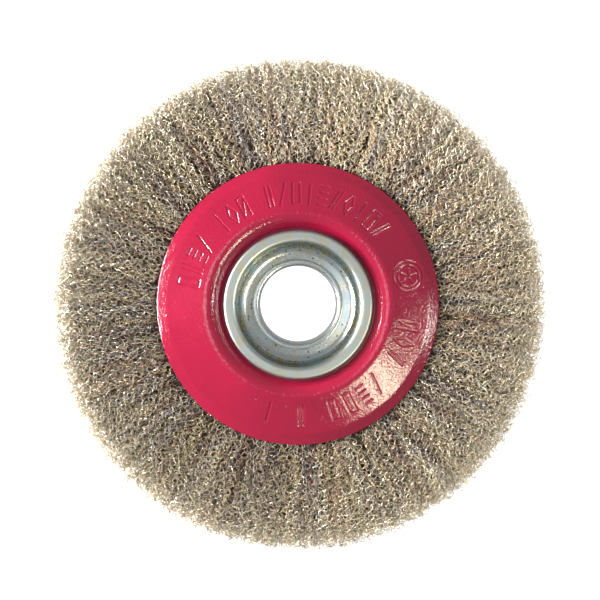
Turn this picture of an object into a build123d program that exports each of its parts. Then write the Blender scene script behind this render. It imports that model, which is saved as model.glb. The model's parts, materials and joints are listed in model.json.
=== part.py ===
"""Crimped wire wheel brush, 200 mm across, for a bench grinder's spindle.

The wheel's axis is Z and its middle plane is z = 0. Every piece is turned about Z, so each one
is a section in the XZ plane, in (radius, height), revolved once round. The rear pressings are
mirror images of the front ones.
"""
import os
from math import cos, radians, sin, tan

from build123d import *

# Driving dimensions, mm
wheel_r = 100.0          # wire tips
face_width = 25.0        # width of the brush at the tips
bore_r = 16.0            # arbor hole, 32 mm across
row_count = 4

plate_sheet = 1.2
plate_edge_r = 57.7
plate_hole_r = 26.8
floor_z = 7.4            # middle of the sheet in the plate's recess
wall_foot_r = 31.3
crest_r = 35.6
crest_z = 11.77
cone_slope = 13.0        # degrees, from the crest out to the rim bend
rim_bend_r = 53.0
rim_slope = 24.0         # degrees, from the rim bend out to the edge
foot_bend = 2.0          # bend radii, to the middle of the sheet
crest_bend = 5.0
rim_bend = 6.0

flange_sheet = 1.3
flange_r = 30.0
flange_top_z = 12.0
shoulder_r = 25.9        # where the flat top would meet the inner wall
well_wall_r = 24.6       # foot of the inner wall
flange_hole_r = 19.0
corner_bend = 0.5
shoulder_bend = 1.3
well_foot_bend = 0.9

cup_sheet = 1.2
cup_hole_r = bore_r + 1.3
cup_bend_r = 21.9        # where the flat bottom turns up to the edge
cup_edge_r = 23.4
cup_floor_z = 5.4        # middle of the sheet at the hole
cup_floor_slope = 9.0    # degrees
cup_edge_slope = 38.0    # degrees
cup_bend = 4.0
nest_gap = 0.05          # between the cup and the flange it sits in

sleeve_wall = 1.2
sleeve_top_z = 7.4
sleeve_lip_r = 18.2
sleeve_lip_edge = 0.35   # rounding of the lip's edge

drum_wall = 1.65
drum_half = 9.9

channel_pitch = 4.3      # row spacing where the channels stand side by side
channel_gap = 0.1        # between neighbouring channels
channel_inner_r = 38.0
channel_mouth_r = 46.0
channel_wall = 0.6
channel_floor = 0.8
keeper_wire_r = 0.9
keeper_r = 40.8          # centre line of the ring wire
fold_gap = 0.05          # filaments to channel and to ring wire

waist_r = plate_edge_r   # the plates pinch the wires here
waist_pitch = 2.4
flare_r = 92.0           # the wires have spread to the full face width here
face_pitch = face_width / row_count
row_gap = 0.1            # between neighbouring rows of wire
tip_corner = 3.0         # worn corner of the two outer rows
edge_round = 0.5

# The flange's well runs under the cup, parallel to it, the two half sheets and the gap away
floor_rise = tan(radians(cup_floor_slope))
edge_rise = tan(radians(cup_edge_slope))
cup_bend_z = cup_floor_z + (cup_bend_r - cup_hole_r) * floor_rise
nest_drop = cup_sheet / 2 + nest_gap + flange_sheet / 2
nest_shift = nest_drop / cos(radians(cup_edge_slope - cup_floor_slope) / 2)
mean_slope = radians(cup_edge_slope + cup_floor_slope) / 2
well_bend_r = cup_bend_r + nest_shift * sin(mean_slope)
well_bend_z = cup_bend_z - nest_shift * cos(mean_slope)


def keep(builder, name):
    """Label one finished piece and write its STEP file."""
    builder.part.label = name
    export_step(builder.part, f"parts/{name}.step")


def keep_pair(front, name):
    """Write a front pressing and its mirror image at the back."""
    keep(front, f"front_{name}")
    with BuildPart() as rear:
        mirror(front.part, about=Plane.XY)
    keep(rear, f"rear_{name}")


os.makedirs("parts", exist_ok=True)

# Side plate: flat recess, wall up to the crest, cone down to the rim bend, steeper rim
rim_bend_z = crest_z - (rim_bend_r - crest_r) * tan(radians(cone_slope))
plate_edge_z = rim_bend_z - (plate_edge_r - rim_bend_r) * tan(radians(rim_slope))
with BuildPart() as side_plate:
    with BuildSketch(Plane.XZ):
        with BuildLine():
            FilletPolyline(
                (plate_hole_r, floor_z),
                (wall_foot_r, floor_z),
                (crest_r, crest_z),
                (rim_bend_r, rim_bend_z),
                (plate_edge_r, plate_edge_z),
                radius=[foot_bend, crest_bend, rim_bend],
            )
        trace(line_width=plate_sheet)
    revolve(axis=Axis.Z)
    rims = side_plate.edges().filter_by(GeomType.CIRCLE).sort_by(SortBy.RADIUS)
    fillet(rims[-2:], radius=edge_round)
keep_pair(side_plate, "side_plate")

# Hub flange: outer leg on the plate's recess, flat top, rolled shoulder, well under the cup
leg_r = flange_r - flange_sheet / 2
top_z = flange_top_z - flange_sheet / 2
leg_foot_z = floor_z + plate_sheet / 2
with BuildPart() as hub_flange:
    with BuildSketch(Plane.XZ):
        with BuildLine() as section:
            well_end = (flange_hole_r, well_bend_z - (well_bend_r - flange_hole_r) * floor_rise)
            well_bend = (well_bend_r, well_bend_z)
            well_start = (well_wall_r, well_bend_z + (well_wall_r - well_bend_r) * edge_rise)
            Polyline(
                (leg_r, leg_foot_z),
                (leg_r, top_z),
                (shoulder_r, top_z),
                well_start,
                well_bend,
                well_end,
            )
            corner = section.vertices().sort_by_distance((leg_r, top_z))[0]
            fillet(corner, radius=corner_bend)
            shoulder = section.vertices().sort_by_distance((shoulder_r, top_z))[0]
            fillet(shoulder, radius=shoulder_bend)
            well_foot = section.vertices().sort_by_distance(well_start)[0]
            fillet(well_foot, radius=well_foot_bend)
            bottom = section.vertices().sort_by_distance(well_bend)[0]
            fillet(bottom, radius=cup_bend + nest_drop)
        trace(line_width=flange_sheet)
    revolve(axis=Axis.Z)
keep_pair(hub_flange, "hub_flange")

# Hub cup: a dished washer, nearly flat at its hole and turned up at its edge
with BuildPart() as hub_cup:
    with BuildSketch(Plane.XZ):
        with BuildLine():
            FilletPolyline(
                (cup_hole_r, cup_floor_z),
                (cup_bend_r, cup_bend_z),
                (cup_edge_r, cup_bend_z + (cup_edge_r - cup_bend_r) * edge_rise),
                radius=cup_bend,
            )
        trace(line_width=cup_sheet)
    revolve(axis=Axis.Z)
keep_pair(hub_cup, "hub_cup")

# Arbor sleeve: a tube with both ends rolled out over the cups
cup_top_z = cup_floor_z + cup_sheet / 2 / cos(radians(cup_floor_slope))
lip_foot_z = cup_top_z + (sleeve_lip_r - cup_hole_r) * floor_rise + nest_gap
lip_middle_z = (lip_foot_z + sleeve_top_z) / 2
with BuildPart() as arbor_sleeve:
    with BuildSketch(Plane.XZ) as sleeve_section:
        with Locations((bore_r + sleeve_wall / 2, 0)):
            Rectangle(sleeve_wall, 2 * sleeve_top_z)
        with Locations(((bore_r + sleeve_lip_r) / 2, lip_middle_z)):
            Rectangle(sleeve_lip_r - bore_r, sleeve_top_z - lip_foot_z)
        with Locations(((bore_r + sleeve_lip_r) / 2, -lip_middle_z)):
            Rectangle(sleeve_lip_r - bore_r, sleeve_top_z - lip_foot_z)
        fillet(sleeve_section.vertices().group_by(Axis.X)[0], radius=sleeve_wall)
        fillet(sleeve_section.vertices().group_by(Axis.X)[-1], radius=sleeve_lip_edge)
    revolve(axis=Axis.Z)
keep(arbor_sleeve, "arbor_sleeve")

# Core drum: the tube that carries the rows
with BuildPart() as core_drum:
    with BuildSketch():
        Circle(channel_inner_r - fold_gap)
        Circle(channel_inner_r - fold_gap - drum_wall, mode=Mode.SUBTRACT)
    extrude(amount=drum_half, both=True)
keep(core_drum, "core_drum")

# Brush rows, from the back to the front: channel ring, ring wire and folded filaments
channel_width = channel_pitch - channel_gap
inside_half = channel_width / 2 - channel_wall
fold_half = inside_half - fold_gap
fold_foot_r = channel_inner_r + channel_floor + fold_gap
for row in range(row_count):
    place = row - (row_count - 1) / 2
    channel_z = place * channel_pitch
    waist_z = place * waist_pitch
    face_z = place * face_pitch
    waist_half = (waist_pitch - row_gap) / 2
    face_half = (face_pitch - row_gap) / 2

    with BuildPart() as channel_ring:
        with BuildSketch(Plane.XZ):
            with Locations(((channel_inner_r + channel_mouth_r) / 2, channel_z)):
                Rectangle(channel_mouth_r - channel_inner_r, channel_width)
            with Locations(((channel_inner_r + channel_floor + channel_mouth_r) / 2, channel_z)):
                Rectangle(
                    channel_mouth_r - channel_inner_r - channel_floor,
                    2 * inside_half,
                    mode=Mode.SUBTRACT,
                )
        revolve(axis=Axis.Z)
    keep(channel_ring, f"row_{row + 1}_channel_ring")

    with BuildPart() as keeper_wire:
        with BuildSketch(Plane.XZ):
            with Locations((keeper_r, channel_z)):
                Circle(keeper_wire_r)
        revolve(axis=Axis.Z)
    keep(keeper_wire, f"row_{row + 1}_keeper_wire")

    with BuildPart() as filaments:
        with BuildSketch(Plane.XZ) as fan:
            with BuildLine():
                Polyline(
                    (fold_foot_r, channel_z - fold_half),
                    (channel_mouth_r, channel_z - fold_half),
                    (waist_r, waist_z - waist_half),
                    (flare_r, face_z - face_half),
                    (wheel_r, face_z - face_half),
                    (wheel_r, face_z + face_half),
                    (flare_r, face_z + face_half),
                    (waist_r, waist_z + waist_half),
                    (channel_mouth_r, channel_z + fold_half),
                    (fold_foot_r, channel_z + fold_half),
                    close=True,
                )
            make_face()
            with Locations((keeper_r, channel_z)):
                Circle(keeper_wire_r + fold_gap, mode=Mode.SUBTRACT)
            tips = fan.vertices().group_by(Axis.X)[-1].sort_by(Axis.Y)
            if row == 0:
                fillet(tips[0], radius=tip_corner)
            if row == row_count - 1:
                fillet(tips[-1], radius=tip_corner)
        revolve(axis=Axis.Z)
    keep(filaments, f"row_{row + 1}_filaments")
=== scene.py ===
import json
import math

import bpy
import numpy as np
from mathutils import Matrix, Vector


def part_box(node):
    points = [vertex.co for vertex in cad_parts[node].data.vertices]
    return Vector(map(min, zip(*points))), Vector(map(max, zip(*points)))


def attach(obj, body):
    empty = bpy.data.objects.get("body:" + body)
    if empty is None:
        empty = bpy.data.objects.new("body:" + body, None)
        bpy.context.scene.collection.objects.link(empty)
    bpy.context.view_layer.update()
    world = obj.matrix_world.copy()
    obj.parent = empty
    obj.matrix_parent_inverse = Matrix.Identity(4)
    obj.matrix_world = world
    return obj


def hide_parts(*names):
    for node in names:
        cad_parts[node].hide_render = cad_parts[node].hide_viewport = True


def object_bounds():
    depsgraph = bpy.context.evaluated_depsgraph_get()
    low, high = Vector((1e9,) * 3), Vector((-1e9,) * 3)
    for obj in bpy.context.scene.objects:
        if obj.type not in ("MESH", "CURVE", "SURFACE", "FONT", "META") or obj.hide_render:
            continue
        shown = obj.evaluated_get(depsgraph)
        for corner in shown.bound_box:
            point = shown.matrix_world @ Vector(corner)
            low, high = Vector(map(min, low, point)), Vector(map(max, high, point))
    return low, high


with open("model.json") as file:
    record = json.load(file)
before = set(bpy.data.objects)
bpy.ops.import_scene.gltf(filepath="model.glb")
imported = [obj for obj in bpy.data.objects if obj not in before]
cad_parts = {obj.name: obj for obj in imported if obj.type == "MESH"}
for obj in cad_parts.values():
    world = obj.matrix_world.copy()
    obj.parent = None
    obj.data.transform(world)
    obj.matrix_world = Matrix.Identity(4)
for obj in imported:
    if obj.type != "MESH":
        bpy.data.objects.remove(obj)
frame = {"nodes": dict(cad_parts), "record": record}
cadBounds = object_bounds()
bpy.ops.object.select_all(action="DESELECT")
print("frame loaded")

mm = 0.001
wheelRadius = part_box("row_4_filaments")[1][0]
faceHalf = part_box("row_4_filaments")[1][2]
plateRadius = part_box("front_side_plate")[1][0]
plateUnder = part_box("front_side_plate")[0][2]
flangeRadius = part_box("front_hub_flange")[1][0]
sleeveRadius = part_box("arbor_sleeve")[1][0]


def newMaterial(name):
    material = bpy.data.materials.new(name)
    material.use_nodes = True
    return material, material.node_tree, material.node_tree.nodes["Principled BSDF"]


def feed(tree, node, values):
    # sockets are linked, anything else is set as the input's value
    for key, value in values.items():
        if isinstance(value, bpy.types.NodeSocket):
            tree.links.new(value, node.inputs[key])
        else:
            node.inputs[key].default_value = value


def addNode(tree, kind, values, **settings):
    node = tree.nodes.new(kind)
    for key, value in settings.items():
        setattr(node, key, value)
    feed(tree, node, values)
    return node


def calculate(tree, operation, *values):
    node = addNode(tree, "ShaderNodeMath", dict(enumerate(values)), operation=operation)
    return node.outputs["Value"]


def colourRamp(tree, source, stops):
    ramp = addNode(tree, "ShaderNodeValToRGB", {"Fac": source})
    while len(ramp.color_ramp.elements) < len(stops):
        ramp.color_ramp.elements.new(0.5)
    for element, (place, colour) in zip(ramp.color_ramp.elements, stops):
        element.position = place
        element.color = (*colour, 1.0)
    return ramp.outputs["Color"]


def mixColours(tree, share, under, over, blend="MIX"):
    mix = addNode(tree, "ShaderNodeMix", {0: share, 6: under, 7: over},
                  data_type="RGBA", blend_type=blend)
    return mix.outputs[2]


def valueRange(tree, source, low, high, start=0.0, end=1.0):
    # from low to high while the source goes from start to end
    span = addNode(tree, "ShaderNodeMapRange", {
        "Value": source, "From Min": start, "From Max": end, "To Min": low, "To Max": high})
    return span.outputs["Result"]


def bumpFrom(tree, height, strength, distance, under=None):
    bump = addNode(tree, "ShaderNodeBump",
                   {"Height": height, "Strength": strength, "Distance": distance})
    if under is not None:
        feed(tree, bump, {"Normal": under})
    return bump.outputs["Normal"]


def objectPlace(tree):
    return tree.nodes.new("ShaderNodeTexCoord").outputs["Object"]


def reachFromAxis(tree):
    split = addNode(tree, "ShaderNodeSeparateXYZ", {0: objectPlace(tree)})
    flat = addNode(tree, "ShaderNodeCombineXYZ", {axis: split.outputs[axis] for axis in "XY"})
    reach = addNode(tree, "ShaderNodeVectorMath", {0: flat.outputs["Vector"]}, operation="LENGTH")
    return reach.outputs["Value"]


def reachRange(tree, size, band, low=0.0, high=1.0):
    # from low to high across a band of distances from the axis, given as shares of a size
    return valueRange(tree, reachFromAxis(tree), low, high, band[0] * size, band[1] * size)


surfaceDefaults = {
    "patchScale": 40.0,
    "grainScale": 900.0,
    "speckScale": 500.0,
    "speckSize": 0.2,
    "speckShare": 0.1,
}
surfaceDetail = {"patches": ("patchScale", 4.0), "grain": ("grainScale", 2.0)}


def makeSurfaceGroup():
    # patches, fine grain and scattered specks, all on object coordinates
    group = bpy.data.node_groups.new("surfaceMarks", "ShaderNodeTree")
    for name, value in surfaceDefaults.items():
        socket = group.interface.new_socket(name, in_out="INPUT", socket_type="NodeSocketFloat")
        socket.default_value = value
    for name in ("patches", "grain", "specks"):
        group.interface.new_socket(name, in_out="OUTPUT", socket_type="NodeSocketFloat")
    inputs = group.nodes.new("NodeGroupInput").outputs
    result = group.nodes.new("NodeGroupOutput")
    place = objectPlace(group)
    for name, (scale, detail) in surfaceDetail.items():
        noise = addNode(group, "ShaderNodeTexNoise",
                        {"Vector": place, "Scale": inputs[scale], "Detail": detail})
        feed(group, result, {name: noise.outputs["Fac"]})
    cells = addNode(group, "ShaderNodeTexVoronoi",
                    {"Vector": place, "Scale": inputs["speckScale"]})
    split = addNode(group, "ShaderNodeSeparateColor", {"Color": cells.outputs["Color"]})
    near = calculate(group, "LESS_THAN", cells.outputs["Distance"], inputs["speckSize"])
    chosen = calculate(group, "LESS_THAN", split.outputs["Red"], inputs["speckShare"])
    feed(group, result, {"specks": calculate(group, "MULTIPLY", near, chosen)})
    return group


surfaceMarks = makeSurfaceGroup()


def placeMarks(tree, look):
    values = {name: look[name] for name in surfaceDefaults if name in look}
    node = addNode(tree, "ShaderNodeGroup", values, node_tree=surfaceMarks)
    return node.outputs["patches"], node.outputs["grain"], node.outputs["specks"]


# in every look, a bump is given as its strength and its height
redPaintLook = {
    "patchScale": 55.0,
    "grainScale": 1150.0,
    "speckScale": 700.0,
    "speckSize": 0.16,
    "speckShare": 0.05,
    "tones": ((0.3, (0.38, 0.005, 0.037)), (0.7, (0.45, 0.006, 0.044))),
    # painted shade round the foot of the hub flange: its colour, how strong it is, and its band
    "hubFootShade": (0.05, 0.012, 0.03, 1.0),
    "hubFootShadeShare": 0.75,
    "hubFootShadeBand": (0.5 * mm, 2.4 * mm),     # out from the hub flange
    "roughness": (0.05, 0.11),
    "refraction": 1.62,
    "peel": (0.45, 0.30 * mm),
    "dust": (0.3, 0.03 * mm),
}


def makeRedPaint():
    look = redPaintLook
    material, tree, paint = newMaterial("glossRedPaint")
    patches, grain, specks = placeMarks(tree, look)
    # painted shade in the gap round the foot of the hub flange, where the flange shadows the plate
    start, end = look["hubFootShadeBand"]
    hubFootShade = valueRange(tree, reachFromAxis(tree), look["hubFootShadeShare"], 0.0,
                       flangeRadius + start, flangeRadius + end)
    colour = colourRamp(tree, patches, look["tones"])
    peel = bumpFrom(tree, grain, *look["peel"])
    feed(tree, paint, {
        "Base Color": mixColours(tree, hubFootShade, colour, look["hubFootShade"]),
        "Roughness": valueRange(tree, patches, *look["roughness"]),
        "IOR": look["refraction"],
        "Normal": bumpFrom(tree, specks, *look["dust"], under=peel),
    })
    return material


zincLook = {
    "patchScale": 240.0,
    "grainScale": 2600.0,
    "speckScale": 520.0,
    "speckSize": 0.20,
    "speckShare": 0.50,
    "tones": ((0.30, (0.66, 0.62, 0.46)), (0.45, (0.62, 0.64, 0.58)),
              (0.62, (0.56, 0.64, 0.66))),
    "speck": (0.07, 0.09, 0.08, 1.0),
    "speckBand": (0.72, 0.84),             # of the flange's radius, as is frostBand
    "speckFade": (1.0, 0.15),
    "frostBand": (0.82, 0.90),
    "roughness": (0.25, 0.44),             # in the dish, on the flat top
    "unevenness": (-0.05, 0.10),
    "dull": (0.30, 0.28, 0.26, 1.0),
    "grain": (0.5, 0.08 * mm),
    "ringScale": 2200.0,
    "rings": (0.3, 0.015 * mm),
}


def makeZincPlate():
    look = zincLook
    material, tree, metal = newMaterial("passivatedZinc")
    patches, grain, specks = placeMarks(tree, look)
    # dark specks gather low in the dish
    inDish = reachRange(tree, flangeRadius, look["speckBand"], *look["speckFade"])
    speckled = mixColours(tree, calculate(tree, "MULTIPLY", specks, inDish),
                          colourRamp(tree, patches, look["tones"]), look["speck"])
    # the flange's flat top is frosted, the dished part inside it is left bright
    frost = reachRange(tree, flangeRadius, look["frostBand"], *look["roughness"])
    uneven = valueRange(tree, patches, *look["unevenness"])
    # faint rings left by the press tool
    rings = addNode(tree, "ShaderNodeTexNoise",
                    {"Scale": look["ringScale"], "W": reachFromAxis(tree)}, noise_dimensions="1D")
    grained = bumpFrom(tree, grain, *look["grain"])
    feed(tree, metal, {
        "Base Color": mixColours(tree, frost, speckled, look["dull"], "MULTIPLY"),
        "Metallic": 1.0,
        "Roughness": calculate(tree, "ADD", frost, uneven),
        "Normal": bumpFrom(tree, rings.outputs["Fac"], *look["rings"], under=grained),
    })
    return material


boredZincLook = {
    "patchScale": 160.0,
    "grainScale": 2000.0,
    "lip": 1.9 * mm,                       # width of the plated lip
    "plated": ((0.3, (0.60, 0.62, 0.52)), (0.65, (0.60, 0.66, 0.68))),
    "scored": ((0.3, (0.16, 0.17, 0.17)), (0.7, (0.30, 0.31, 0.31))),
    "roughness": (0.26, 0.62),             # plated, scored
    "grain": (0.4, 0.03 * mm),
}


def makeBoredZinc():
    # the sleeve: plated on its lips, dull and scored where the spindle goes
    look = boredZincLook
    material, tree, metal = newMaterial("boredZinc")
    patches, grain, _ = placeMarks(tree, look)
    inBore = calculate(tree, "LESS_THAN", reachFromAxis(tree), sleeveRadius - look["lip"])
    feed(tree, metal, {
        "Base Color": mixColours(tree, inBore, colourRamp(tree, patches, look["plated"]),
                                 colourRamp(tree, grain, look["scored"])),
        "Metallic": 1.0,
        "Roughness": valueRange(tree, inBore, *look["roughness"]),
        "Normal": bumpFrom(tree, grain, *look["grain"]),
    })
    return material


plainSteelLook = {
    "patchScale": 120.0,
    "grainScale": 3000.0,
    "tones": ((0.3, (0.26, 0.26, 0.26)), (0.7, (0.42, 0.41, 0.39))),
    "roughness": (0.35, 0.55),
}


def makePlainSteel():
    look = plainSteelLook
    material, tree, metal = newMaterial("millSteel")
    patches, grain, _ = placeMarks(tree, look)
    feed(tree, metal, {
        "Base Color": colourRamp(tree, patches, look["tones"]),
        "Metallic": 1.0,
        "Roughness": valueRange(tree, grain, *look["roughness"]),
    })
    return material


packedWireLook = {
    "patchScale": 700.0,
    "grainScale": 1800.0,
    # painted shade tones for the deep core, then the lighter tones for out under the tips
    "deep": ((0.35, (0.020, 0.014, 0.014)), (0.65, (0.13, 0.095, 0.075))),
    "lessShadeTones": ((0.40, (0.10, 0.075, 0.05)), (0.62, (0.62, 0.52, 0.36))),
    "lessShadeBand": (0.90, 0.93),             # of the wheel's radius
    "grain": (1.0, 0.4 * mm),
    "metallic": 0.5,
    "roughness": 0.6,
}


def makePackedWire():
    # what shows between the outer wires: the same wire, painted near black as shade where it stands
    # deep and out of the light, and painted lighter, with less shade, where it stands close under
    # the tips
    look = packedWireLook
    material, tree, metal = newMaterial("packedWire")
    patches, grain, _ = placeMarks(tree, look)
    # painted shade: dark in the deep, lighter out under the tips
    outside = reachRange(tree, wheelRadius, look["lessShadeBand"])
    feed(tree, metal, {
        "Base Color": mixColours(tree, outside, colourRamp(tree, patches, look["deep"]),
                                 colourRamp(tree, grain, look["lessShadeTones"])),
        "Metallic": look["metallic"],
        "Roughness": look["roughness"],
        "Normal": bumpFrom(tree, grain, *look["grain"]),
    })
    return material


# one finish for each shade of brassed wire: light tone, dark tone, roughness, share of the wires
wireShades = (
    ("wireCream", (1.00, 0.89, 0.70), (0.78, 0.65, 0.45), 0.23, 0.28),
    ("wireBrass", (0.90, 0.76, 0.46), (0.58, 0.46, 0.26), 0.26, 0.18),
    ("wireKhaki", (0.72, 0.60, 0.43), (0.42, 0.33, 0.23), 0.28, 0.14),
    ("wireBrown", (0.74, 0.47, 0.31), (0.36, 0.21, 0.15), 0.30, 0.16),
    ("wireSteel", (0.88, 0.83, 0.78), (0.48, 0.45, 0.46), 0.23, 0.13),
    ("wireDark", (0.20, 0.13, 0.13), (0.06, 0.04, 0.05), 0.38, 0.11),
)
# bands out from the axis are shares of the wheel's radius
wireLook = {
    "patchScale": 620.0,
    "grainScale": 2400.0,
    "toneStops": (0.36, 0.58),
    # lighter colour towards the tips, partly wear and partly painted light
    "tipWearAndLight": (1.0, 0.90, 0.70, 1.0),
    "tipWearAndLightBand": (0.72, 1.0),
    "tipWearAndLightShare": 0.6,
    "tipBand": (0.84, 0.98),               # the tips are never darkened by depth
    "roughnessDrift": 0.08,
    "metallic": 0.65,
    # the painted depth shade: face height at the plate and at full width, the band it fades over,
    # how dark it gets deep down
    "fullWidth": 0.92,
    "faceHeight": (0.44, 0.96),            # of faceHalf, at the plate and at full width
    "depthBand": (0.68, 0.95),             # of the face's height
    "deepShade": 0.16,
}


def depthShade(tree):
    # painted shade: 1 on the face of the brush, falling towards the middle of its width, where the
    # deeper wires stand in shade
    split = addNode(tree, "ShaderNodeSeparateXYZ", {0: objectPlace(tree)})
    away = calculate(tree, "ABSOLUTE", split.outputs["Z"])
    low, high = wireLook["faceHeight"]
    face = valueRange(tree, reachFromAxis(tree), low * faceHalf, high * faceHalf,
                      plateRadius, wireLook["fullWidth"] * wheelRadius)
    return valueRange(tree, calculate(tree, "DIVIDE", away, face), wireLook["deepShade"], 1.0,
                      *wireLook["depthBand"])


def makeWireShade(name, light, dark, roughness):
    # the brass coat is uneven, so each shade drifts between its two tones along the wire; towards
    # the tips it is painted lighter, partly as wear and partly as painted light, and deeper wires
    # get painted shade
    look = wireLook
    material, tree, metal = newMaterial(name)
    patches, grain, _ = placeMarks(tree, look)
    tone = colourRamp(tree, patches, tuple(zip(look["toneStops"], (dark, light))))
    # painted lighter towards the tips: partly wear, partly painted light
    tipWearAndLight = reachRange(tree, wheelRadius, look["tipWearAndLightBand"], high=look["tipWearAndLightShare"])
    tips = reachRange(tree, wheelRadius, look["tipBand"])
    # painted shade on the deeper wires, lifted at the tips
    lit = calculate(tree, "MAXIMUM", depthShade(tree), tips)
    drift = look["roughnessDrift"]
    feed(tree, metal, {
        "Base Color": mixColours(tree, 1.0, mixColours(tree, tipWearAndLight, tone, look["tipWearAndLight"]), lit,
                                 "MULTIPLY"),
        "Metallic": look["metallic"],
        "Roughness": valueRange(tree, grain, roughness - drift, roughness + drift),
    })
    return material


redPaint = makeRedPaint()
zincPlate = makeZincPlate()
boredZinc = makeBoredZinc()
plainSteel = makePlainSteel()
packedWire = makePackedWire()
wireFinishes = [makeWireShade(*shade[:4]) for shade in wireShades]

finishOfSlot = {"red_paint": redPaint, "zinc_plate": zincPlate, "plain_steel": plainSteel,
                "brassed_wire": packedWire}
for part in frame["record"]["subparts"]:
    node = frame["nodes"][part["node"]]
    for place in node.material_slots:
        if part["node"] == "arbor_sleeve":
            place.material = boredZinc
        else:
            place.material = finishOfSlot[part["material_slot"]]
print("finishes on the pressings")

# the front plate again, fine enough to carry its stamped marks; lengths in millimetres, bends as
# (radius, height, bend radius) along the middle of the sheet
plate = {
    "sheet": 1.2,
    "bends": ((31.3, 7.4, 2.0), (35.6, 11.77, 5.0), (53.0, None, 6.0)),
    "holeRadius": 26.8,
    "edgeRadius": 57.7,
    "coneSlope": 13.0,
    "rimSlope": 24.0,
    "edgeRound": 0.5,
    "turns": 960,
    "markBand": (38.7, 52.4),
    "markRadius": 45.0,
    "markHeight": 8.6,
    "markDepth": 0.32,
    "markWidth": 0.43,         # half of a groove's width
    "markShape": 1.2,          # how steep a groove's walls are
    "lip": (0.08, 1.6, 0.22),  # of the depth, of markWidth away, its spread
    "rowSpacing": 0.29,        # between the rows of points under the marks
    "rowInset": 0.3,
    "edgeHold": 0.35,          # rows of points beside the rounded edge
    "bendSteps": 6,
    "edgeSteps": 6,
}
# one mark is a few strokes between points (across, along), across in mm and along from -1 to 1
markShapes = {
    "bar": [((0, -1), (0, 1))],
    "pair": [((-0.9, -1), (-0.9, 1)), ((0.9, -1), (0.9, 1))],
    "box": [((-1.5, -1), (1.5, -1)), ((1.5, -1), (1.5, 1)), ((1.5, 1), (-1.5, 1)),
            ((-1.5, 1), (-1.5, -1))],
    "slash": [((-1.5, -1), (1.5, 1))],
    "steps": [((-1.6, -0.9), (1.6, -0.9)), ((-1.6, -0.3), (1.6, -0.3)), ((-1.6, 0.3), (1.6, 0.3)),
              ((-1.6, 0.9), (1.6, 0.9))],
    "pane": [((-1.5, -1), (1.5, -1)), ((1.5, -1), (1.5, 1)), ((1.5, 1), (-1.5, 1)),
             ((-1.5, 1), (-1.5, -1)), ((-1.5, -1), (1.5, 1))],
    "diamond": [((0, -1), (1.7, 0)), ((1.7, 0), (0, 1)), ((0, 1), (-1.7, 0)), ((-1.7, 0), (0, -1))],
    "hatch": [((-1.7, -0.9), (0.3, 0.9)), ((-0.3, -0.9), (1.7, 0.9))],
    "dot": [((0, -0.95), (0, -0.85))],
}
# the row of marks over the top, then the row under it, as (first turn, step, shapes)
markRows = (
    (168.0, -7.0, ("box", "pair", "steps", "slash", None, "bar", "diamond", "pane", None, "pair",
                   "slash", "box", "bar", "steps", "hatch", "diamond", "bar", "box", "hatch")),
    (-11.0, -8.6, ("pane", "diamond", "hatch", None, "slash", "steps", "box", "box", None,
                   "pair", "dot", "bar", "dot")),
)
roundMark = {
    "turn": 14.5,
    "radius": 46.0,
    "rings": (6.1, 4.4),
    "ringPieces": 36,
    "spokes": 5,
    "spoke": (1.2, 3.2),
}


def bentLine(points):
    # a polyline with rounded bends, as points and the directions square to them
    places, squares = [], []

    def put(r, z, slope):
        places.append((r, z))
        squares.append((-math.sin(slope), math.cos(slope)))

    for i in range(1, len(points) - 1):
        (r0, z0, _), (r1, z1, bend), (r2, z2, _) = points[i - 1:i + 2]
        slopeIn, slopeOut = math.atan2(z1 - z0, r1 - r0), math.atan2(z2 - z1, r2 - r1)
        reach = bend * math.tan(abs(slopeOut - slopeIn) / 2)
        if i == 1:
            put(r0, z0, slopeIn)
        side = math.copysign(1, slopeOut - slopeIn)
        startR, startZ = r1 - reach * math.cos(slopeIn), z1 - reach * math.sin(slopeIn)
        middleR = startR - side * bend * math.sin(slopeIn)
        middleZ = startZ + side * bend * math.cos(slopeIn)
        for step in range(plate["bendSteps"] + 1):
            slope = slopeIn + (slopeOut - slopeIn) * step / plate["bendSteps"]
            put(middleR + side * bend * math.sin(slope),
                middleZ - side * bend * math.cos(slope), slope)
    put(points[-1][0], points[-1][1], slopeOut)
    return places, squares


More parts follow.
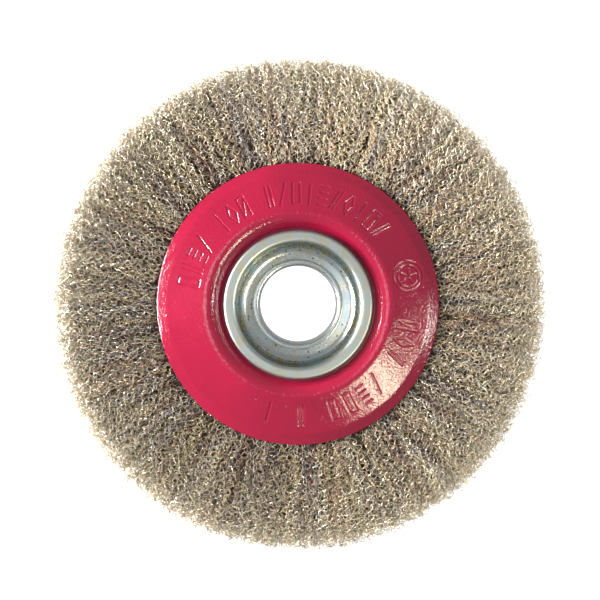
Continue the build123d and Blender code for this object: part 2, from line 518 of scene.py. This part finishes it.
def plateOutline():
    (footR, footZ, footBend), (crestR, crestZ, crestBend), (bendR, _, rimBend) = plate["bends"]
    bendZ = crestZ - (bendR - crestR) * math.tan(math.radians(plate["coneSlope"]))
    edgeZ = bendZ - (plate["edgeRadius"] - bendR) * math.tan(math.radians(plate["rimSlope"]))
    places, squares = bentLine([(plate["holeRadius"], footZ, 0), (footR, footZ, footBend),
                                (crestR, crestZ, crestBend), (bendR, bendZ, rimBend),
                                (plate["edgeRadius"], edgeZ, 0)])
    half, rounding = plate["sheet"] / 2, plate["edgeRound"]
    top, under = [], []
    low, high = plate["markBand"]
    for (r, z), (sr, sz) in zip(places, squares):
        top.append((r + half * sr, z + half * sz))
        under.append((r - half * sr, z - half * sz))
    # close rows of points where the marks go
    joined = []
    for (r0, z0), (r1, z1) in zip(top, top[1:]):
        joined.append((r0, z0))
        if r0 < low and r1 >= bendR - rimBend:
            for r in np.arange(low, min(high, r1 - plate["rowInset"]), plate["rowSpacing"]):
                joined.append((r, z0 + (z1 - z0) * (r - r0) / (r1 - r0)))
    joined.append(top[-1])
    # the rounded edge
    (sr, sz), (er, ez) = squares[-1], places[-1]
    along = (sz, -sr)
    rim = []
    for step in range(1, plate["edgeSteps"]):
        a = math.radians(90 - 180 / plate["edgeSteps"] * step)
        away = rounding * math.cos(a) - rounding
        up = (half - rounding) * math.copysign(1, a) + rounding * math.sin(a)
        if 2 * step == plate["edgeSteps"]:
            up = 0.0
        rim.append((er + away * along[0] + up * sr, ez + away * along[1] + up * sz))
    for row in (joined, under):
        edgeR, edgeZ = row.pop()
        for back in (rounding + plate["edgeHold"], rounding):
            row.append((edgeR - back * along[0], edgeZ - back * along[1]))
    return joined + rim + under[::-1]


def markStrokes():
    # every stroke as two points on the flat pattern, in millimetres
    strokes = []
    half = plate["markHeight"] / 2
    for first, step, shapes in markRows:
        for place, shape in enumerate(shapes):
            if shape is None:
                continue
            turn = math.radians(first + step * place)
            out = np.array((math.cos(turn), math.sin(turn)))
            right = np.array((out[1], -out[0]))
            for (x0, y0), (x1, y1) in markShapes[shape]:
                strokes.append((plate["markRadius"] * out + x0 * right + y0 * half * out,
                                plate["markRadius"] * out + x1 * right + y1 * half * out))
    turn = math.radians(roundMark["turn"])
    middle = roundMark["radius"] * np.array((math.cos(turn), math.sin(turn)))
    for ring in roundMark["rings"]:
        for piece in range(roundMark["ringPieces"]):
            stride = 360 // roundMark["ringPieces"]
            ends = [middle + ring * np.array((math.cos(a), math.sin(a)))
                    for a in np.radians((stride * piece, stride * piece + stride))]
            strokes.append(tuple(ends))
    for spoke in range(roundMark["spokes"]):
        a = turn + 2 * math.pi * spoke / roundMark["spokes"]
        way = np.array((math.cos(a), math.sin(a)))
        strokes.append(tuple(middle + reach * way for reach in roundMark["spoke"]))
    return strokes


def stampMarks(mesh):
    spots = np.empty(len(mesh.vertices) * 3)
    mesh.vertices.foreach_get("co", spots)
    spots = spots.reshape(-1, 3)
    flat = spots[:, :2] / mm
    reach = np.hypot(flat[:, 0], flat[:, 1])
    low, high = plate["markBand"]
    crestR, crestZ, _ = plate["bends"][1]
    coneTop = crestZ - (reach - crestR) * math.tan(math.radians(plate["coneSlope"]))
    inset = plate["rowInset"]
    inBand = (reach > low - inset) & (reach < high + inset) & (spots[:, 2] / mm > coneTop)
    depth = np.zeros(len(spots))
    width = plate["markWidth"]
    lipHeight, lipPlace, lipSpread = plate["lip"]
    for start, end in markStrokes():
        fromMiddle = np.abs(flat - (start + end) / 2).max(1)
        near = inBand & (fromMiddle < np.linalg.norm(end - start) / 2 + 2)
        if not near.any():
            continue
        run = end - start
        along = np.clip((flat[near] - start) @ run / (run @ run), 0, 1)
        away = np.linalg.norm(flat[near] - start - along[:, None] * run, axis=1)
        # a rounded groove with a slightly raised lip where the metal was pushed aside
        groove = np.clip(1 - (away / width) ** 2, 0, 1) ** plate["markShape"]
        groove = groove - lipHeight * np.exp(-((away - lipPlace * width) / lipSpread) ** 2)
        depth[near] = np.where(np.abs(groove) > np.abs(depth[near]), groove, depth[near])
    spots[:, 2] -= depth * plate["markDepth"] * mm
    mesh.vertices.foreach_set("co", spots.ravel())
    mesh.update()


weldDistance = 0.005 * mm


def makeSpun(name, outline, turns):
    # a closed outline of (radius, height) turned once round Z
    mesh = bpy.data.meshes.new(name)
    mesh.from_pydata([(r, 0.0, z) for r, z in outline],
                     [(i, (i + 1) % len(outline)) for i in range(len(outline))], [])
    piece = bpy.data.objects.new(name, mesh)
    bpy.context.collection.objects.link(piece)
    bpy.context.view_layer.objects.active = piece
    piece.select_set(True)
    bpy.ops.object.mode_set(mode="EDIT")
    bpy.ops.mesh.select_all(action="SELECT")
    bpy.ops.mesh.spin(steps=turns, angle=2 * math.pi, center=(0, 0, 0), axis=(0, 0, 1))
    bpy.ops.mesh.select_all(action="SELECT")
    bpy.ops.mesh.remove_doubles(threshold=weldDistance)
    bpy.ops.mesh.normals_make_consistent(inside=False)
    bpy.ops.mesh.faces_shade_smooth()
    bpy.ops.object.mode_set(mode="OBJECT")
    piece.select_set(False)
    return piece


def makeStampedPlate():
    outline = [(r * mm, z * mm) for r, z in plateOutline()]
    piece = makeSpun("front_plate_stamped", outline, plate["turns"])
    stampMarks(piece.data)
    piece.data.materials.append(redPaint)
    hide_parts("front_side_plate")
    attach(piece, "root")
    print("stamped plate", len(piece.data.polygons), "faces")


makeStampedPlate()

# crimped wires, row by row
wire = {
    "radius": 0.175 * mm,
    "wave": 3.9 * mm,          # one full crimp
    "waveSpread": 0.22,        # of the wave's length, from wire to wire
    "stepSpread": 0.15,        # the same from bend to bend
    "height": 0.92 * mm,       # crimp to either side
    "heightSpread": 0.30,
    "lean": 0.07,              # radians off the radius
    "leanFrom": 0.8,           # of the wheel's radius, where leaning wires cross
    "strayShare": 0.05,
    "strayLean": 2.5,
    "wander": 0.9 * mm,
    "wanderLength": (9, 22),   # in millimetres
    "wanderHeight": 0.5,       # of the wander, across the width of the brush
    "planeTwist": 30,          # radians to a metre, the most either way
    "tipInset": 1.6 * mm,
    "tipSpread": 1.1 * mm,
    "lopsided": 0.3 * mm,      # the crown is trimmed a little off centre, towards lopsidedTurn
    "lopsidedTurn": -40.0,
    "flare": 92.0 * mm,        # full width is reached here
    "bulge": 0.75,             # how soon the wires spread once clear of the plates
}
# four points to a wave: two close together on each bend, then a long slope to the next bend
bendPhases = np.radians([62.0, 118.0, 242.0, 298.0])
phaseSteps = np.radians([56.0, 124.0, 56.0, 124.0])
plateGap = 0.15 * mm
waistHalf = plateUnder - wire["radius"] - plateGap


def halfWidth(radius):
    # the brush is pinched at the plates and spreads to its full face width
    along = np.clip((radius - plateRadius) / (wire["flare"] - plateRadius), 0.0, 1.0)
    return waistHalf + (faceHalf - wire["radius"] - waistHalf) * along ** wire["bulge"]


def wirePaths(rng, count, points, shareLow, shareHigh, turnLow, turnHigh, planeSpread):
    # each wire is a row of points from the tip inwards, four to a wave
    slots = (np.arange(points)[None, :] + rng.integers(0, 4, (count, 1))) % 4
    wave = wire["wave"] * (1 + wire["waveSpread"] * rng.uniform(-1, 1, (count, 1)))
    step = wave * phaseSteps[slots] / (2 * math.pi)
    step *= 1 + wire["stepSpread"] * rng.uniform(-1, 1, (count, points))
    share = rng.uniform(shareLow, shareHigh, (count, 1))
    spread = np.arange(count)[:, None] + rng.random((count, 1))
    turn = turnLow + (turnHigh - turnLow) * spread / count
    tip = wheelRadius - wire["tipInset"] - wire["tipSpread"] * rng.normal(0, 1, (count, 1))
    tip = tip + wire["lopsided"] * np.cos(turn - math.radians(wire["lopsidedTurn"]))
    radius = tip - np.cumsum(step, 1) + step[:, :1]
    lean = wire["lean"] * rng.normal(0, 1, (count, 1))
    lean[rng.random(count) < wire["strayShare"]] *= wire["strayLean"]
    sideways = lean * (radius - wire["leanFrom"] * wheelRadius)
    slow = rng.uniform(0, 2 * math.pi, (2, count, 1))
    slowLength = rng.uniform(*wire["wanderLength"], (2, count, 1)) * mm
    sideways = sideways + wire["wander"] * np.sin(slow[0] + 2 * math.pi * radius / slowLength[0])
    height = share * halfWidth(radius)
    slowHeight = wire["wanderHeight"] * wire["wander"]
    height = height + slowHeight * np.sin(slow[1] + 2 * math.pi * radius / slowLength[1])
    # the crimp lies in its own plane, which turns a little from wave to wave
    crimp = wire["height"] * (1 + wire["heightSpread"] * rng.uniform(-1, 1, (count, points)))
    crimp = crimp * np.sin(bendPhases[slots])
    plane = planeSpread * rng.normal(0, 1, (count, 1))
    twist = wire["planeTwist"]
    plane = plane + rng.uniform(-twist, twist, (count, 1)) * (radius - tip)
    sideways = sideways + crimp * np.cos(plane)
    height = height + crimp * np.sin(plane)
    limit = halfWidth(radius)
    height = np.clip(height, -limit, limit)
    angle = turn + sideways / radius
    return np.stack([radius * np.cos(angle), radius * np.sin(angle), height], -1)


def wireMesh(name, rng, bundles):
    # a three sided tube along every path, closed at both ends
    corners, loops, totals, shades = [], [], [], []
    first = 0
    picks = np.array([share for *rest, share in wireShades])
    for paths in bundles:
        count, points = paths.shape[:2]
        along = np.gradient(paths, axis=1)
        along /= np.linalg.norm(along, axis=2, keepdims=True)
        up = np.cross(along, np.array([0.0, 0.0, 1.0]))
        up /= np.linalg.norm(up, axis=2, keepdims=True)
        across = np.cross(along, up)
        ring = []
        for corner in range(3):
            turn = 2 * math.pi * corner / 3
            ring.append(paths + wire["radius"] * (up * math.cos(turn) + across * math.sin(turn)))
        corners.append(np.stack(ring, 2).reshape(-1, 3))
        base = first + np.arange(count)[:, None, None] * points * 3
        here = base + np.arange(points - 1)[None, :, None] * 3
        side = np.arange(3)[None, None, :]
        after = (side + 1) % 3
        quads = np.stack([here + side, here + after, here + after + 3, here + side + 3], -1)
        ends = first + np.arange(count)[:, None] * points * 3
        startCaps = ends + np.array([0, 2, 1])
        endCaps = ends + (points - 1) * 3 + np.array([0, 1, 2])
        loops += [quads.reshape(-1), startCaps.reshape(-1), endCaps.reshape(-1)]
        totals += [np.full(quads.size // 4, 4), np.full(2 * count, 3)]
        shade = rng.choice(len(picks), count, p=picks / picks.sum())
        shades += [np.repeat(shade, (points - 1) * 3), shade, shade]
        first += count * points * 3
    corners, loops = np.concatenate(corners), np.concatenate(loops)
    totals, shades = np.concatenate(totals), np.concatenate(shades)
    mesh = bpy.data.meshes.new(name)
    mesh.vertices.add(len(corners))
    mesh.vertices.foreach_set("co", corners.ravel())
    mesh.loops.add(len(loops))
    mesh.loops.foreach_set("vertex_index", loops.astype(np.int32))
    mesh.polygons.add(len(totals))
    mesh.polygons.foreach_set("loop_start", (np.cumsum(totals) - totals).astype(np.int32))
    mesh.polygons.foreach_set("loop_total", totals.astype(np.int32))
    for finish in wireFinishes:
        mesh.materials.append(finish)
    mesh.polygons.foreach_set("material_index", shades.astype(np.int32))
    mesh.update(calc_edges=True)
    piece = bpy.data.objects.new(name, mesh)
    bpy.context.collection.objects.link(piece)
    return piece


# kinds of wire as (how many, points each, share of the half width from, to): the long ones run
# in under the plate, the others fill the brush out towards its rim
outerWires = {
    "kinds": ((1640, 46, 0.70, 1.0), (1040, 26, 0.60, 0.97), (1440, 14, 0.45, 1.0)),
    "sectors": 4,
    "planeSpread": 0.5,
}
middleWires = {"kinds": ((1300, 12, 0.0, 0.55),), "planeSpread": 1.6}
wireSeed = 40


def makeWires(name, row, sign, kinds, planeSpread, turnLow, turnHigh, part, rng):
    bundles = []
    for count, points, shareLow, shareHigh in kinds:
        nearer, further = sorted((sign * shareLow, sign * shareHigh))
        bundles.append(wirePaths(rng, count // part, points, nearer, further, turnLow, turnHigh,
                                 planeSpread))
    piece = wireMesh(name, rng, bundles)
    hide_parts(f"row_{row}_filaments")
    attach(piece, "root")


def makeRows():
    sectors = outerWires["sectors"]
    for row, sign in ((4, 1), (1, -1)):
        rng = np.random.default_rng(wireSeed + row)
        for sector in range(sectors):
            makeWires(f"row_{row}_crimped_wires_{sector + 1}", row, sign, outerWires["kinds"],
                      outerWires["planeSpread"], 2 * math.pi * sector / sectors,
                      2 * math.pi * (sector + 1) / sectors, sectors, rng)
    for row, sign in ((3, 1), (2, -1)):
        rng = np.random.default_rng(wireSeed + row)
        makeWires(f"row_{row}_crimped_wires", row, sign, middleWires["kinds"],
                  middleWires["planeSpread"], 0.0, 2 * math.pi, 1, rng)


makeRows()
print("crimped wires")

# the deep mass of wire that the outer ones stand on
core = {
    "reach": 0.62,             # of the half width
    "start": 49.0 * mm,
    "rim": 93.5 * mm,
    "rings": 12,
    "steps": 180,
}


def makePackedCore():
    radii = np.linspace(core["start"], core["rim"], core["rings"])
    upper = [(r, core["reach"] * float(halfWidth(np.array(r)))) for r in radii]
    lower = [(r, -z) for r, z in reversed(upper)]
    piece = makeSpun("packed_wire_core", upper + lower, core["steps"])
    piece.data.materials.append(packedWire)
    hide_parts(*[f"row_{row}_filaments" for row in (1, 2, 3, 4)])
    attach(piece, "root")


makePackedCore()
print("packed core")

# floor, light, camera
floorLook = {
    "size": 6.0,
    "patchScale": 3.0,
    "grainScale": 200.0,
    "tones": ((0.3, (0.90, 0.90, 0.89)), (0.7, (0.93, 0.93, 0.93))),
    "roughness": 0.9,
    "glow": (1.0, 1.0, 1.0, 1.0),
    "glowStrength": 0.95,
}
studio = {
    "camera": Vector((-3.1, 9.0, 308.1)) * mm,
    "aim": Vector((0.8, 1.7, 0.0)) * mm,
    "lens": 44.3,
    "nearest": 0.01,
    "world": (0.92, 0.95, 1.0),
    "worldStrength": 0.40,
}
# each light as (degrees off the vertical, turn, distance, size, power, colour, lights the paint,
# shows in the gloss)
lights = {
    "coolWindow": (78.5, 168.0, 1.0, 0.36, 19.0, (0.94, 0.97, 1.0), True, True),
    "leftFill": (50.0, 172.0, 0.45, 0.22, 1.48, (0.98, 0.99, 1.0), True, False),
    "leftGlint": (77.0, 186.0, 0.45, 0.11, 4.4, (1.0, 0.98, 0.94), False, True),
    "warmLamp": (39.0, -44.0, 0.8, 0.21, 2.5, (1.0, 0.95, 0.70), False, True),
    "sideLamp": (52.0, -12.0, 0.8, 0.15, 1.7, (1.0, 0.96, 0.86), False, True),
    "softLeft": (17.0, 180.0, 0.7, 0.24, 0.50, (0.93, 0.97, 1.0), True, True),
}


def makeFloor():
    bpy.ops.mesh.primitive_plane_add(size=floorLook["size"], location=(0, 0, cadBounds[0][2]))
    floor = bpy.context.object
    floor.name = "studio_floor"
    material, tree, paper = newMaterial("paleFloor")
    patches, _, _ = placeMarks(tree, floorLook)
    feed(tree, paper, {
        "Base Color": colourRamp(tree, patches, floorLook["tones"]),
        "Roughness": floorLook["roughness"],
        "Emission Color": floorLook["glow"],
        "Emission Strength": floorLook["glowStrength"],
    })
    floor.data.materials.append(material)
    floor.select_set(False)


def makeLights():
    world = bpy.data.worlds.new("studioWorld")
    bpy.context.scene.world = world
    world.use_nodes = True
    sky = world.node_tree.nodes["Background"]
    sky.inputs["Color"].default_value = (*studio["world"], 1.0)
    sky.inputs["Strength"].default_value = studio["worldStrength"]
    for name, (lean, turn, distance, size, power, colour, spreads, shines) in lights.items():
        light = bpy.data.lights.new(name, "AREA")
        light.shape = "DISK"
        light.size = size
        light.energy = power
        light.color = colour
        lamp = bpy.data.objects.new(name, light)
        bpy.context.collection.objects.link(lamp)
        lean, turn = math.radians(lean), math.radians(turn)
        toLamp = Vector((math.sin(lean) * math.cos(turn), math.sin(lean) * math.sin(turn),
                         math.cos(lean)))
        lamp.location = distance * toLamp
        lamp.visible_diffuse = spreads
        lamp.visible_glossy = shines
        lamp.visible_camera = False
        lamp.rotation_euler = (-toLamp).to_track_quat("-Z", "Y").to_euler()


def makeCamera():
    camera = bpy.data.objects.new("camera", bpy.data.cameras.new("camera"))
    bpy.context.collection.objects.link(camera)
    forward = (studio["aim"] - studio["camera"]).normalized()
    right = forward.cross(Vector((0, 1, 0))).normalized()
    turned = Matrix((right, right.cross(forward), -forward)).transposed().to_4x4()
    turned.translation = studio["camera"]
    camera.matrix_world = turned
    camera.data.lens = studio["lens"]
    camera.data.clip_start = studio["nearest"]
    bpy.context.scene.camera = camera


makeFloor()
makeLights()
makeCamera()
bpy.context.scene.view_settings.view_transform = "Standard"
print("studio ready")
